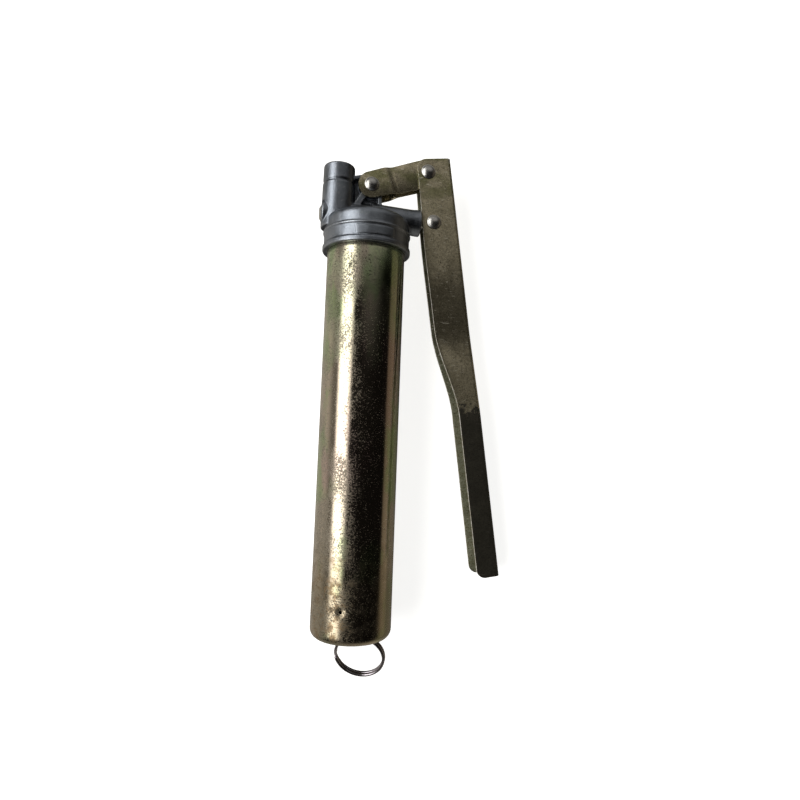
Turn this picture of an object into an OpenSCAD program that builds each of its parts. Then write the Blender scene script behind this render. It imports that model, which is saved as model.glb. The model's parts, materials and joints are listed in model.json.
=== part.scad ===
// Lever-type grease gun, lying on its side as it rests on a bench.
// Each piece is built in the gun's own frame: barrel axis along Y with the outlet towards +Y,
// the lever on +X, and the origin on the axis at the lower edge of the head's collar.
// resting() then rolls and pitches that frame onto the bench, +Z up.

/* [Barrel] */
// Outside diameter of the barrel
barrel_d = 57; // [52:0.5:62]
// Barrel length below the head's collar
barrel_l = 275; // [240:1:320]
// Wall thickness of the barrel
barrel_wall = 1.2; // [0.8:0.1:1.6]
// Corner radius at the closed end
corner_r = 6.5; // [4:0.5:9]
// Diameter of the pressed-in centre of the closed end
dish_d = 35; // [30:1:38]
// Depth of the pressed-in centre
dish_depth = 6; // [5:0.5:7]
// Diameter of the vent hole near the closed end
vent_d = 2.4; // [1:0.1:3]

/* [Head] */
// Outside diameter of the head's collar
collar_d = 65; // [64:0.5:70]
// Height of the collar
collar_h = 14.4; // [13.5:0.1:16]
// Height of the head's top above the collar's lower edge
crown_h = 26.5; // [25:0.5:28]
// Height of the pump cylinder's axis
pump_y = 28; // [27:0.5:30]
// Outside diameter of the pump cylinder
pump_d = 19; // [18:0.5:21]
// Distance from the barrel axis to the packing end of the pump
horn_x = 39.6; // [38:0.1:40]
// Distance from the barrel axis to the plugged end of the pump
stub_x = 33.6; // [32:0.1:35]
// Outlet boss, distance from the barrel axis
outlet_x = 22.4; // [21:0.1:24]
// Outlet boss, diameter
outlet_d = 23.2; // [21:0.1:24]
// Outlet boss, height of its face
outlet_y = 64.5; // [62:0.5:70]

/* [Pump] */
// Diameter of the plunger
plunger_d = 8.6; // [8:0.1:9]
// Running clearance of the plunger, on radius
run = 0.05; // [0.02:0.01:0.08]
// Diameter of the rivets' shanks
shank_d = 6; // [5:0.1:6.5]
// Diameter of the rivets' heads
rivet_d = 11; // [9:0.5:12]

/* [Linkage] */
// Anchor pivot on the head, X
anchor_x = 1.2; // [0:0.1:3]
// Anchor pivot on the head, Y
anchor_y = 51.2; // [50:0.1:53]
// Plunger pivot, X, with the lever closed
pivot_x = 49.4; // [48:0.1:51]
// Distance between the lever's two pivots
arm = 39; // [37:0.1:41]
// Slope of the closed lever to the barrel
lever_slope = 8.2; // [7:0.1:9]
// Extra radius of the anchor pivot's hole in the head
slack = 2.05; // [1.9:0.05:2.2]

/* [Lever] */
// Length of the lever below its upper pivot
lever_l = 304; // [280:1:320]
// Sheet thickness of lever and link
sheet = 1.5; // [1.2:0.1:1.8]
// Width of the lever at its pivots
lever_w = 12.2; // [12:0.1:13]
// Width of the handle
handle_w = 21; // [18:0.5:22]
// Depth of the lever at its pivots
lever_depth = 26.6; // [26:0.1:28]
// Depth of the handle
handle_depth = 16.8; // [15:0.1:19]

/* [Follower] */
// Diameter of the follower rod
rod_d = 6; // [5:0.5:7]
// Wire of the follower spring
spring_wire = 2.2; // [1.8:0.1:2.4]
// Turns of the follower spring
spring_turns = 13; // [10:1:15]
// Outside diameter of the split ring
ring_d = 37; // [34:0.5:38]
// Wire of the split ring
ring_wire = 1.9; // [1.6:0.1:2]
// Swing of the ring below the barrel's axis
ring_swing = 27.8; // [20:0.1:35]

/* [Hidden] */
$fn = 64;
E = 0.01;                            // overshoot of a cutting tool

cast = "lightslategray";
plated = "darkkhaki";
bright = "silver";
dark_steel = "dimgray";
nbr = [0.12, 0.12, 0.13];

barrel_r = barrel_d / 2;
bore_r = barrel_r - barrel_wall;
dish_r = dish_d / 2;
collar_r = collar_d / 2;
pump_r = pump_d / 2;
outlet_r = outlet_d / 2;
plunger_r = plunger_d / 2;
shank_r = shank_d / 2;
rod_r = rod_d / 2;

// The barrel's end inside the head, and the cavity above it
engage = 11;                         // thread engagement of the barrel
gasket_t = 1.6;
cavity_y = 18;                       // roof of the head's cavity
cavity_r = 24;

// The lever's channel, measured from its two pivots
web_x = 18.9;                        // outer face of the web
top_y = 10.3;                        // upper end
flare_top = -128;                    // where the handle's flare starts
flare_end = -186;                    // and ends
tip_r = 6;                           // rounding of the flanges' lower corners

// Resting pose: collar, closed end and the lever's tip touch the bench
tip_x = pivot_x + web_x * cos(lever_slope) + (lever_l - arm) * sin(lever_slope);
tip_y = pump_y - (lever_l - arm) * cos(lever_slope) + tip_r;
pitch = asin((collar_r - barrel_r) / (barrel_l - corner_r));
tip_drop = (collar_r + tip_y * sin(pitch)) / cos(pitch);
roll = asin(tip_drop / norm([tip_x, handle_w / 2])) - atan2(handle_w / 2, tip_x);

// Where the origin of the lying gun is: under the middle of its bounding box
mid_x = 34.75;
mid_y = -113.9;

module resting() {
    translate([-mid_x, -mid_y, collar_r / cos(pitch)])
        rotate([pitch, 0, 0]) rotate([0, roll, 0]) children();
}

// Lathe work about the barrel's axis: points are [radius, y]
module lathe(points) {
    rotate([-90, 0, 0]) rotate_extrude($fn = 96) polygon([for (p = points) [p[0], p[1]]]);
}

// A rod along Y, from y0 up to y1
module rod_y(r, y0, y1, r2 = -1) {
    translate([0, y0, 0]) rotate([-90, 0, 0]) cylinder(r1 = r, r2 = r2 < 0 ? r : r2, h = y1 - y0);
}

// A rod along the pump's axis, from x0 to x1
module rod_x(r, x0, x1, r2 = -1) {
    translate([x0, pump_y, 0]) rotate([0, 90, 0]) cylinder(r1 = r, r2 = r2 < 0 ? r : r2, h = x1 - x0);
}

// A pin across the gun, centred on the plane of the lever
module pin_z(r, w, at) {
    translate([at[0], at[1], -w / 2]) cylinder(r = r, h = w);
}

function arc(c, r, a0, a1, n = 8) =
    [for (i = [0:n]) let (a = a0 + (a1 - a0) * i / n) [c[0] + r * cos(a), c[1] + r * sin(a)]];

// ---- linkage places ----
anchor = [anchor_x, anchor_y];
pivot = [pivot_x, pump_y];
fulcrum = pivot + arm * [-sin(lever_slope), cos(lever_slope)];
link_l = norm(fulcrum - anchor);
link_angle = atan2(fulcrum[1] - anchor[1], fulcrum[0] - anchor[0]);
gap = 0.3;                           // side clearance between neighbours on a pivot
link_w = lever_w - 2 * sheet - 2 * gap;
lug_w = 12;
yoke_w = lug_w + 2 * gap + 2 * sheet;

module lever_frame() {
    translate([fulcrum[0], fulcrum[1], 0]) rotate(lever_slope) children();
}

module link_frame() {
    translate([anchor_x, anchor_y, 0]) rotate(link_angle) children();
}

// ---- barrel group ----
dish_y = -barrel_l + dish_depth;     // floor of the pressed-in centre
guide_r = 4.6;                       // hole in the closed end, which the rod guide fills

module barrel() {
    draft = 2;                       // narrowing of the pressed-in centre to its floor
    inner_corner = corner_r - barrel_wall;
    vent_turn = -21;                 // vent's place round the barrel, from +Z towards -X
    vent_rise = 23;                  // and above the closed end
    color(plated) difference() {
        lathe(concat(
            [[guide_r - draft, dish_y], [dish_r - draft, dish_y], [dish_r, -barrel_l]],
            arc([barrel_r - corner_r, -barrel_l + corner_r], corner_r, -90, 0),
            [[barrel_r, engage], [bore_r, engage]],
            arc([bore_r - inner_corner, -barrel_l + corner_r], inner_corner, 0, -90),
            [[dish_r + barrel_wall, -barrel_l + barrel_wall],
             [dish_r - draft + barrel_wall, dish_y + barrel_wall],
             [guide_r - draft, dish_y + barrel_wall]]));
        rod_y(guide_r, dish_y - E, dish_y + barrel_wall + E);
        rotate([0, vent_turn, 0]) translate([0, vent_rise - barrel_l, bore_r - barrel_wall])
            cylinder(d = vent_d, h = 3 * barrel_wall);
    }
}

module rod_guide() {
    outer_r = 6.6;                   // flange outside the closed end
    inner_r = 7.5;                   // and inside it
    outer_t = 0.9;
    inner_t = 2;
    y = dish_y + barrel_wall;
    color(nbr) lathe([[rod_r + run, dish_y - outer_t], [outer_r, dish_y - outer_t],
        [outer_r, dish_y], [guide_r, dish_y], [guide_r, y], [inner_r, y], [inner_r, y + inner_t],
        [rod_r + run, y + inner_t]]);
}

eye_y = -barrel_l - 0.3;             // middle of the rod's eye
eye_twist = -27.4;                   // turn of the eye about the rod
ring_skew = 17.5;                    // slant of the ring in the eye
follower_y = -16;                    // front face of the follower with the rod pushed in

plate_t = 1.5;                       // follower's two plates
plate_r = 21;
cup_t = 2.5;                         // rubber between the plates
nut_t = 3;

// A disc across the rod's eye
module eye_disc(r, t) {
    translate([0, eye_y, 0]) rotate([0, 90 + eye_twist, 0]) cylinder(r = r, h = t, center = true);
}

module follower_rod() {
    eye_r = 4.9;
    eye_t = 3.6;
    eye_hole = 2.9;
    color(bright) difference() {
        union() {
            rod_y(rod_r, eye_y + eye_hole, follower_y + nut_t + 1);
            eye_disc(eye_r, eye_t);
        }
        eye_disc(eye_hole, 3 * eye_t);
    }
}

module follower_front_plate() {
    color(bright) lathe([[rod_r, follower_y - plate_t], [plate_r, follower_y - plate_t],
        [plate_r, follower_y], [rod_r, follower_y]]);
}

module follower_cup() {
    lip_r = bore_r - 0.3;            // sealing lips, front and back
    lip_t = 1;
    front = 5;                       // reach of each lip from the front plate
    back = 4.5;
    y = follower_y - plate_t;
    color(nbr) lathe([[rod_r, y], [plate_r, y], [plate_r + cup_t, y + lip_t],
        [lip_r - lip_t, y + front], [lip_r, y + front], [lip_r, y - back], [lip_r - lip_t, y - back],
        [lip_r - cup_t, y - cup_t], [rod_r, y - cup_t]]);
}

module follower_back_plate() {
    bevel = 1.6;
    y = follower_y - plate_t - cup_t;
    color(bright) lathe([[rod_r, y - plate_t], [plate_r + bevel, y - plate_t],
        [plate_r + 2 * bevel, y], [rod_r, y]]);
}

module follower_nut() {
    across_corners = 11.54;
    color(bright) difference() {
        translate([0, follower_y, 0]) rotate([-90, 0, 0])
            cylinder(d = across_corners, h = nut_t, $fn = 6);
        rod_y(rod_r, follower_y - 1, follower_y + nut_t + 1);
    }
}

// A round-wire coil spring along Y from y0 to y1
module coil(r, wire, turns, y0, y1, steps, sides = 8) {
    rise = (y1 - y0 - wire) / turns;
    count = turns * steps;
    points = [for (i = [0:count], j = [0:sides - 1])
        let (a = 360 * i / steps, b = 360 * j / sides, q = r + wire / 2 * cos(b))
        [q * cos(a), y0 + wire / 2 + rise * a / 360 + wire / 2 * sin(b), q * sin(a)]];
    sides_f = [for (i = [0:count - 1], j = [0:sides - 1])
        let (k = (j + 1) % sides, m = i * sides)
        [m + j, m + k, m + sides + k, m + sides + j]];
    polyhedron(points, concat([[for (j = [sides - 1:-1:0]) j]], sides_f,
        [[for (j = [0:sides - 1]) count * sides + j]]), convexity = 10);
}

module follower_spring() {
    spring_r = 22.2;                 // middle of the wire
    seat = 0.2;                      // gap at each seat
    color(dark_steel) coil(spring_r, spring_wire, spring_turns, -barrel_l + barrel_wall + seat,
        follower_y - 2 * plate_t - cup_t - seat, 20);
}

ring_r = (ring_d - ring_wire) / 2;

module split_ring() {
    color("gray")
        translate([0, eye_y, 0]) rotate([0, eye_twist, 0]) rotate([0, 0, ring_skew])
        rotate([ring_swing, 0, 0]) translate([0, -ring_r, 0])
            rotate_extrude($fn = 96) translate([ring_r, 0])
                square([ring_wire, 2 * ring_wire], center = true);
}

// ---- head group ----
module barrel_gasket() {
    inner_r = cavity_r + 0.3;
    outer_r = bore_r + 0.6;
    color(nbr) lathe([[inner_r, engage], [outer_r, engage], [outer_r, engage + gasket_t],
        [inner_r, engage + gasket_t]]);
}

module head_body() {
    crown_r = 10.5;                  // rounding of the crown
    bead_h = 3.4;                    // bead round the collar's lower edge
    band_in = 0.7;                   // band between bead and ridge, set in
    ridge_h = 1.3;                   // ridge round the collar's upper edge
    ridge_in = 0.2;
    lathe(concat([[0, 0], [collar_r, 0], [collar_r, bead_h], [collar_r - band_in, bead_h + band_in],
        [collar_r - band_in, collar_h - ridge_h - 0.5], [collar_r - ridge_in, collar_h - ridge_h],
        [collar_r - ridge_in, collar_h - ridge_in], [collar_r - 2 * band_in, collar_h + 0.4]],
        arc([collar_r - 1.5 - crown_r, crown_h - crown_r], crown_r, 0, 90),
        [[0, crown_h]]));
}

module bracket() {
    lug_r = 9.2;
    web_t = 6;
    foot_y = 24;                     // the web and its rims end inside the crown
    foot_x = 9.4;
    rim_foot = [-17, 26];            // foot of the inclined rim
    rim_w = 4.8;
    post_w = 3;                      // width of the upright rim
    // lug round the anchor pivot
    pin_z(lug_r, lug_w, anchor);
    // thin web between outlet boss, lug and crown
    linear_extrude(web_t, center = true)
        polygon([[-outlet_x, foot_y], [-outlet_x, outlet_y - 8], anchor + [-2, lug_r - 1],
                 anchor + [lug_r - 2.2, 0], [foot_x, foot_y]]);
    // inclined and upright rims of the web
    linear_extrude(lug_w, center = true) {
        polygon([rim_foot, rim_foot + [rim_w, 0], anchor + [-3, -lug_r + 2],
                 anchor + [-7, -lug_r + 4.5]]);
        polygon([[foot_x - post_w, foot_y], [foot_x, foot_y], anchor + [lug_r - 1, -2],
                 anchor + [lug_r - 4.2, -4]]);
    }
}

packing_l = 12;                      // depth of the packing chamber
packing_r = 6.9;
plug_r = 4.9;                        // thread of the plug in the pump's blind end
plug_l = 8;
washer_r = 6.6;
washer_t = 0.8;
seat_y = 42;                         // seat of the check ball
valve_r = 3.6;                       // bore of the valve chamber
thread_r = 4.3;                      // minor radius of the outlet's pipe thread
thread_l = 11.5;
retainer_t = 1.5;                    // stops the check spring

module outlet_boss() {
    neck_l = 12;                     // cap above the neck
    neck_in = 0.5;
    translate([-outlet_x, 0, 0]) {
        rod_y(outlet_r + neck_in, cavity_y - 1, outlet_y - neck_l - 2.5, outlet_r + 0.2);
        rod_y(outlet_r - neck_in, outlet_y - neck_l - 3, outlet_y - neck_l);
        rod_y(outlet_r, outlet_y - neck_l - 0.6, outlet_y);
    }
}

module head() {
    channel_r = 2;
    inlet = [2, 3];                  // inlet port: distance from the axis, radius
    cone = [1.2, 9];                 // swell of the horn at its root, and where it ends
    socket_r = barrel_r + 0.3;
    color(cast) difference() {
        union() {
            head_body();
            rod_x(pump_r, -stub_x, horn_x);
            rod_x(pump_r + cone[0], 0, horn_x - cone[1], pump_r);
            outlet_boss();
            bracket();
        }
        // socket for the barrel, gasket seat and cavity
        rod_y(socket_r, -E, engage + gasket_t);
        rod_y(cavity_r, engage, cavity_y);
        // pump bore, packing chamber, and the plug's thread and spot face
        rod_x(plunger_r + run, -stub_x + 6, horn_x + E);
        rod_x(packing_r, horn_x - packing_l, horn_x + E);
        rod_x(plug_r, -stub_x - E, -stub_x + plug_l + 0.5);
        rod_x(washer_r + 0.5, -stub_x - 5, -stub_x);
        // inlet port, outlet channel, valve chamber and outlet thread
        translate([inlet[0], 0, 0]) rod_y(inlet[1], cavity_y - 1, pump_y);
        translate([-outlet_x, 0, 0]) {
            rod_y(channel_r, pump_y, seat_y + 1);
            rod_y(valve_r, seat_y, outlet_y - thread_l + 1.5);
            rod_y(thread_r, outlet_y - thread_l, outlet_y + E);
        }
        // anchor pivot
        pin_z(shank_r + slack, lug_w + 2, anchor);
    }
}

module cylinder_plug() {
    head_r = 5.6;
    head_t = 0.6;
    dome_t = 1.1;
    face = -stub_x - washer_t;
    color(bright) union() {
        rod_x(plug_r, face, -stub_x + plug_l);
        rod_x(head_r, face - head_t, face);
        rod_x(head_r - 2, face - head_t - dome_t, face - head_t, head_r - 0.2);
    }
}

module plug_washer() {
    color("peru") ring_x(washer_r, plug_r, -stub_x - washer_t, -stub_x);
}

module ring_x(r_out, r_in, x0, x1) {
    difference() {
        rod_x(r_out, x0, x1);
        rod_x(r_in, x0 - 1, x1 + 1);
    }
}

retainer_x = horn_x - 4;             // inner faces of the brass retainer
follow_x = retainer_x - 1.2;         // and of the steel washer behind it

module plunger_packing() {
    color(nbr) ring_x(packing_r, plunger_r + run, horn_x - packing_l, follow_x);
}

module packing_washer() {
    color(bright) ring_x(packing_r, plunger_r + run, follow_x, retainer_x);
}

module packing_retainer() {
    color("goldenrod") ring_x(packing_r, plunger_r + 0.2, retainer_x, horn_x);
}

ball_r = 3.1;
ball_y = seat_y + sqrt(ball_r * ball_r - 4) + run;

module check_ball() {
    color(bright) translate([-outlet_x, ball_y, 0]) sphere(r = ball_r);
}

module check_spring() {
    coil_r = 2.3;
    wire = 0.6;
    turns = 4;
    color(dark_steel) translate([-outlet_x, 0, 0])
        coil(coil_r, wire, turns, ball_y + ball_r - wire, outlet_y - thread_l - retainer_t - 0.1,
            16, 6);
}

module check_retainer() {
    port_r = 1.7;
    y = outlet_y - thread_l;
    color(bright) translate([-outlet_x, 0, 0]) difference() {
        rod_y(valve_r, y - retainer_t, y);
        rod_y(port_r, y - retainer_t - 1, y + 1);
    }
}

// ---- pump and lever ----
module plunger() {
    inner_end = -18;
    eye_r = 6.2;
    eye_w = plunger_d - 0.2;
    color(bright) difference() {
        union() {
            rod_x(plunger_r, inner_end, pivot_x);
            pin_z(eye_r, eye_w, pivot);
        }
        pin_z(shank_r + run, 2 * eye_w, pivot);
    }
}

// Outline of the lever's flanges, seen across the pivots
module flange_outline() {
    nose = 7;                        // rounding of the flanges' upper corners
    web_top = 2;                     // and of the web's upper and lower ends
    web_end = 3;
    deep = web_x - lever_depth - 1.2;
    deep_y = -68;                    // where the flanges are deepest
    neck = deep + 0.6;               // flange edge where it starts to rise to the handle
    neck_y = flare_top + 9;
    shallow = web_x - handle_depth;
    polygon(concat(
        arc([web_x - web_top, top_y - web_top], web_top, 0, 90, 4),
        arc([web_x - lever_depth + nose, top_y - nose], nose, 90, 180),
        [[deep, deep_y], [neck, neck_y + 6]],
        [for (i = [0:8]) let (t = i / 8, k = (1 - cos(180 * t)) / 2)
            [neck + (shallow - neck) * k, neck_y + (flare_end - neck_y) * t]],
        arc([shallow + tip_r, -lever_l + tip_r], tip_r, 180, 270),
        arc([web_x - web_end, -lever_l + web_end], web_end, 270, 360, 4)));
}

// Half plan of the lever, from its middle plane out to w/2, seen along the web
module lever_plan(inset) {
    a = lever_w / 2 - inset;
    b = handle_w / 2 - inset;
    half = [[a, top_y + 1], [a, flare_top], [b, flare_end], [b, -lever_l - 1]];
    polygon(concat(half, [for (i = [3:-1:0]) [-half[i][0], half[i][1]]]));
}

module along_web(x0, x1) {
    translate([x0, 0, 0]) rotate([0, 90, 0]) linear_extrude(x1 - x0) children();
}

module lever() {
    back = web_x - 2 * lever_depth;  // well behind the flanges
    color(plated) lever_frame() difference() {
        intersection() {
            linear_extrude(2 * handle_w, center = true) flange_outline();
            along_web(back, web_x) lever_plan(0);
        }
        along_web(back, web_x - sheet) lever_plan(sheet);
        pin_z(shank_r, handle_w, [0, 0]);
        pin_z(shank_r, handle_w, [0, -arm]);
    }
}

// A domed rivet across w at a point, with a formed head on each side
module rivet(w, at) {
    head_h = 2.4;                    // height of each dome
    crown_r = (rivet_d * rivet_d / 4 + head_h * head_h) / (2 * head_h);
    color(bright) translate([at[0], at[1], 0]) {
        cylinder(r = shank_r, h = w, center = true);
        for (s = [0, 180]) rotate([s, 0, 0]) intersection() {
            translate([0, 0, w / 2 + head_h - crown_r]) sphere(r = crown_r, $fn = 96);
            translate([0, 0, w / 2]) cylinder(r = rivet_d, h = head_h + 1);
        }
    }
}

module plunger_rivet() { rivet(lever_w, pivot); }

module fulcrum_rivet() { rivet(lever_w, fulcrum); }

module link_rivet() { rivet(yoke_w, anchor); }

// The link: two plates straddling the lug, stepped in to run inside the lever, with a top web
step_0 = 13;                         // the link's plates step inwards between these
step_1 = 18;

module link() {
    yoke_r = 9.8;
    tail_r = 10.6;
    taper = 8;                       // length of the tail's parallel edges
    web_0 = 19;                      // ends of the folded web along the top
    web_1 = link_l - 9;
    outline = concat(arc([0, 0], yoke_r, 90, 270, 16), [[link_l - taper, -tail_r]],
        arc([link_l, 0], tail_r, -90, 90, 16), [[link_l - taper, tail_r]]);
    color(plated) link_frame() difference() {
        intersection() {
            union() {
                linear_extrude(2 * yoke_w, center = true) polygon(outline);
                translate([web_0, tail_r / 2, -yoke_w])
                    cube([web_1 - web_0, tail_r / 2, 2 * yoke_w]);
            }
            rotate([-90, 0, 0]) linear_extrude(4 * tail_r, center = true) difference() {
                plate_plan(0);
                plate_plan(sheet);
            }
        }
        pin_z(shank_r, 2 * yoke_w, [0, 0]);
        pin_z(shank_r + run, 2 * yoke_w, [link_l, 0]);
    }
    color(plated) link_frame() translate([web_0, tail_r - sheet, -link_w / 2 + sheet])
        cube([web_1 - web_0, sheet, link_w - 2 * sheet]);
}

// Plan of the link's two plates, from above, both ends running on past the plates
module plate_plan(inset) {
    a = yoke_w / 2 - inset;
    b = link_w / 2 - inset;
    past = 20 + inset;
    half = [[-past, a], [step_0, a], [step_1, b], [link_l + past, b]];
    polygon(concat(half, [for (i = [3:-1:0]) [half[i][0], -half[i][1]]]));
}

resting() barrel();
resting() rod_guide();
resting() follower_rod();
resting() follower_front_plate();
resting() follower_cup();
resting() follower_back_plate();
resting() follower_nut();
resting() follower_spring();
resting() split_ring();
resting() barrel_gasket();
resting() head();
resting() cylinder_plug();
resting() plug_washer();
resting() plunger_packing();
resting() packing_washer();
resting() packing_retainer();
resting() check_ball();
resting() check_spring();
resting() check_retainer();
resting() plunger();
resting() lever();
resting() plunger_rivet();
resting() fulcrum_rivet();
resting() link();
resting() link_rivet();
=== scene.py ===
"""The looks of a lever-type grease gun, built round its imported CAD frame.

Every piece is modelled in millimetres in the gun's own frame: the barrel's axis is Y with the outlet
towards +Y, the lever is on +X, and the origin is on the axis at the collar's lower edge. The frame's
joints say where that frame lies in the row.
"""
import json
import math

import bmesh
import bpy
from mathutils import Matrix, Vector


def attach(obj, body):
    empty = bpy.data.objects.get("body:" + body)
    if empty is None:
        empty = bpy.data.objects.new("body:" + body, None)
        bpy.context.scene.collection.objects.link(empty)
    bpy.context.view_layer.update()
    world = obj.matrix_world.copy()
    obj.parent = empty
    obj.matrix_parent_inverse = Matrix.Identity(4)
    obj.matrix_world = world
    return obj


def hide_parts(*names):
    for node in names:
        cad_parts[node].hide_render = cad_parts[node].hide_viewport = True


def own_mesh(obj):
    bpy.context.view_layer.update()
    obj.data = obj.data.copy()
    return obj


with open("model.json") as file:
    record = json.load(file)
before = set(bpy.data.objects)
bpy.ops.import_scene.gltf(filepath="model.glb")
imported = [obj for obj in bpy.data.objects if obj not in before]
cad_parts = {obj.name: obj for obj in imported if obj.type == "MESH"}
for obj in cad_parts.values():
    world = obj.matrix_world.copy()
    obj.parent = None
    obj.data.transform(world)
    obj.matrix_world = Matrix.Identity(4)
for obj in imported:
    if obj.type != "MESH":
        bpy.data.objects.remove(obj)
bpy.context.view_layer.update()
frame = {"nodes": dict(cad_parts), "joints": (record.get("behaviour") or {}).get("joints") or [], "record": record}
JOINT = {j["name"]: j for j in frame["joints"]}
MM = 0.001


# ---------------------------------------------------------------- the gun's frame
def gun_frame():
    """The gun's own frame in the row, from the axes of the barrel's thread and the lever's pivot."""
    y = -Vector(JOINT["barrel_unscrew"]["axis"])
    z = Vector(JOINT["lever_hinge"]["axis"])
    x = y.cross(z)
    m = Matrix((x, y, z)).transposed().to_4x4()
    m.translation = Vector(JOINT["barrel_unscrew"]["pos_m"])
    return m


GUN = gun_frame()
TO_GUN = GUN.inverted()


def in_gun(point):
    """A point of the row frame, in metres, in the gun's frame, in millimetres."""
    return (TO_GUN @ Vector(point)) / MM


def box_in_gun(node):
    """The lowest and highest corner of a CAD node in the gun's frame, in millimetres."""
    points = [in_gun(v.co) for v in frame["nodes"][node].data.vertices]
    return [Vector([pick(p[i] for p in points) for i in range(3)]) for pick in (min, max)]


PIVOT = in_gun(JOINT["lever_hinge"]["pos_m"])        # lever to plunger
FULCRUM = in_gun(JOINT["link_hinge"]["pos_m"])       # lever to link
EYE = in_gun(JOINT["ring_hinge"]["pos_m"])           # middle of the follower rod's eye
ANCHOR = sum(box_in_gun("link_rivet"), Vector()) / 2  # link to head
PUMP_Y = PIVOT.y
BARREL_LOW, BARREL_HIGH = box_in_gun("barrel")
HEAD_LOW, HEAD_HIGH = box_in_gun("head")
SHEET = 1.5                                           # thickness of the pressed steel


# ---------------------------------------------------------------- outlines
def arc(cx, cy, r, a0, a1, steps=8):
    """Points of a circular arc, angles in degrees."""
    turn = [math.radians(a0 + (a1 - a0) * i / steps) for i in range(steps + 1)]
    return [(cx + r * math.cos(a), cy + r * math.sin(a)) for a in turn]


def rounded(corners, steps=4):
    """A closed outline with its corners rounded: corners are (u, v) or (u, v, radius)."""
    points = []
    for i, corner in enumerate(corners):
        here = Vector(corner[:2])
        radius = corner[2] if len(corner) > 2 else 0
        before = Vector(corners[i - 1][:2]) - here
        after = Vector(corners[(i + 1) % len(corners)][:2]) - here
        if radius <= 0 or before.length < 1e-6 or after.length < 1e-6:
            points.append(tuple(here))
            continue
        half = before.angle(after) / 2
        reach = min(radius / math.tan(half), before.length * 0.49, after.length * 0.49)
        radius = reach * math.tan(half)
        a, b = here + before.normalized() * reach, here + after.normalized() * reach
        inward = (before.normalized() + after.normalized()).normalized()
        middle = here + inward * (radius / math.sin(half))
        start, end = a - middle, b - middle
        bend = start.angle_signed(end)
        for k in range(steps + 1):
            turn = -bend * k / steps
            points.append(tuple(middle + Matrix.Rotation(turn, 2) @ start))
    return points


def rounded_run(points, radius):
    """An open run of points with its inner corners rounded."""
    run = [points[0]]
    for before, here, after in zip(points, points[1:], points[2:]):
        bend = rounded([before, (*here, radius), after])
        run += bend[1:-1]
    return run + [points[-1]]


def ease(t):
    """A smooth step from 0 at t = 0 to 1 at t = 1."""
    t = min(max(t, 0.0), 1.0)
    return t * t * (3 - 2 * t)


def eased_rows(size, steps=8):
    """Places from 0 to a size, close together at 0, for the round end of a part."""
    return [size * (1 - math.cos(math.radians(90 * k / steps))) for k in range(steps + 1)]


# ---------------------------------------------------------------- mesh making
def add_lathe(bm, outline, segments=96, place=Matrix()):
    """Turns a closed outline of (radius, height) about Y. Points on the axis become poles."""
    rings = []
    for r, h in outline:
        if r < 1e-6:
            rings.append([bm.verts.new(place @ Vector((0, h, 0)))])
            continue
        turn = [2 * math.pi * k / segments for k in range(segments)]
        rings.append([bm.verts.new(place @ Vector((r * math.sin(a), h, r * math.cos(a)))) for a in turn])
    for low, high in zip(rings, rings[1:] + rings[:1]):
        for k in range(segments):
            m = (k + 1) % segments
            corners = [low[k % len(low)], low[m % len(low)], high[m % len(high)], high[k % len(high)]]
            corners = [v for i, v in enumerate(corners) if v not in corners[:i]]
            if len(corners) > 2:
                bm.faces.new(corners)


def along(axis, at=(0, 0, 0)):
    """Turns the lathe's Y onto an axis of the gun, with its zero at a point."""
    turn = {"X": Matrix.Rotation(math.radians(-90), 4, "Z"), "Y": Matrix(),
            "Z": Matrix.Rotation(math.radians(90), 4, "X")}[axis]
    return Matrix.Translation(Vector(at)) @ turn


def add_rod(bm, axis, at, start, end, r0, r1=None, edge=0.0, segments=96):
    """A round bar or cone along an axis, with its edges rounded."""
    r1 = r0 if r1 is None else r1
    side = rounded([(0, start), (r0, start, edge), (r1, end, edge), (0, end)])
    add_lathe(bm, side, segments, along(axis, at))


def add_plate(bm, outline, z0, z1):
    """A flat plate across the gun, from a closed outline of (x, y)."""
    low = [bm.verts.new((x, y, z0)) for x, y in outline]
    high = [bm.verts.new((x, y, z1)) for x, y in outline]
    bm.faces.new(low[::-1])
    bm.faces.new(high)
    for i in range(len(outline)):
        j = (i + 1) % len(outline)
        bm.faces.new((low[i], low[j], high[j], high[i]))


def sweep(bm, path, section):
    """Carries a closed section of (out, side) along a path of (point, out, side), and caps both ends."""
    rings = [[bm.verts.new(p + out * u + side * v) for u, v in section] for p, out, side in path]
    count = len(section)
    for a, b in zip(rings, rings[1:]):
        for k in range(count):
            m = (k + 1) % count
            bm.faces.new((a[k], a[m], b[m], b[k]))
    bm.faces.new(rings[0][::-1])
    bm.faces.new(rings[-1])


def to_object(bm, name):
    """The finished mesh as an object that lies in the gun's frame."""
    bmesh.ops.recalc_face_normals(bm, faces=bm.faces)
    bmesh.ops.scale(bm, vec=(MM,) * 3, verts=bm.verts)
    mesh = bpy.data.meshes.new(name)
    bm.to_mesh(mesh)
    bm.free()
    obj = bpy.data.objects.new(name, mesh)
    bpy.context.scene.collection.objects.link(obj)
    return obj


def apply_modifiers(obj):
    """Keeps what the modifiers make, and drops them."""
    depsgraph = bpy.context.evaluated_depsgraph_get()
    mesh = bpy.data.meshes.new_from_object(obj.evaluated_get(depsgraph))
    obj.modifiers.clear()
    obj.data = mesh


def boolean(obj, other, operation="DIFFERENCE", solver="EXACT"):
    """Cuts, joins or intersects with another object, which is used up."""
    step = obj.modifiers.new("boolean", "BOOLEAN")
    step.operation = operation
    step.object = other
    step.solver = solver
    apply_modifiers(obj)
    bpy.data.objects.remove(other)


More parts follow.
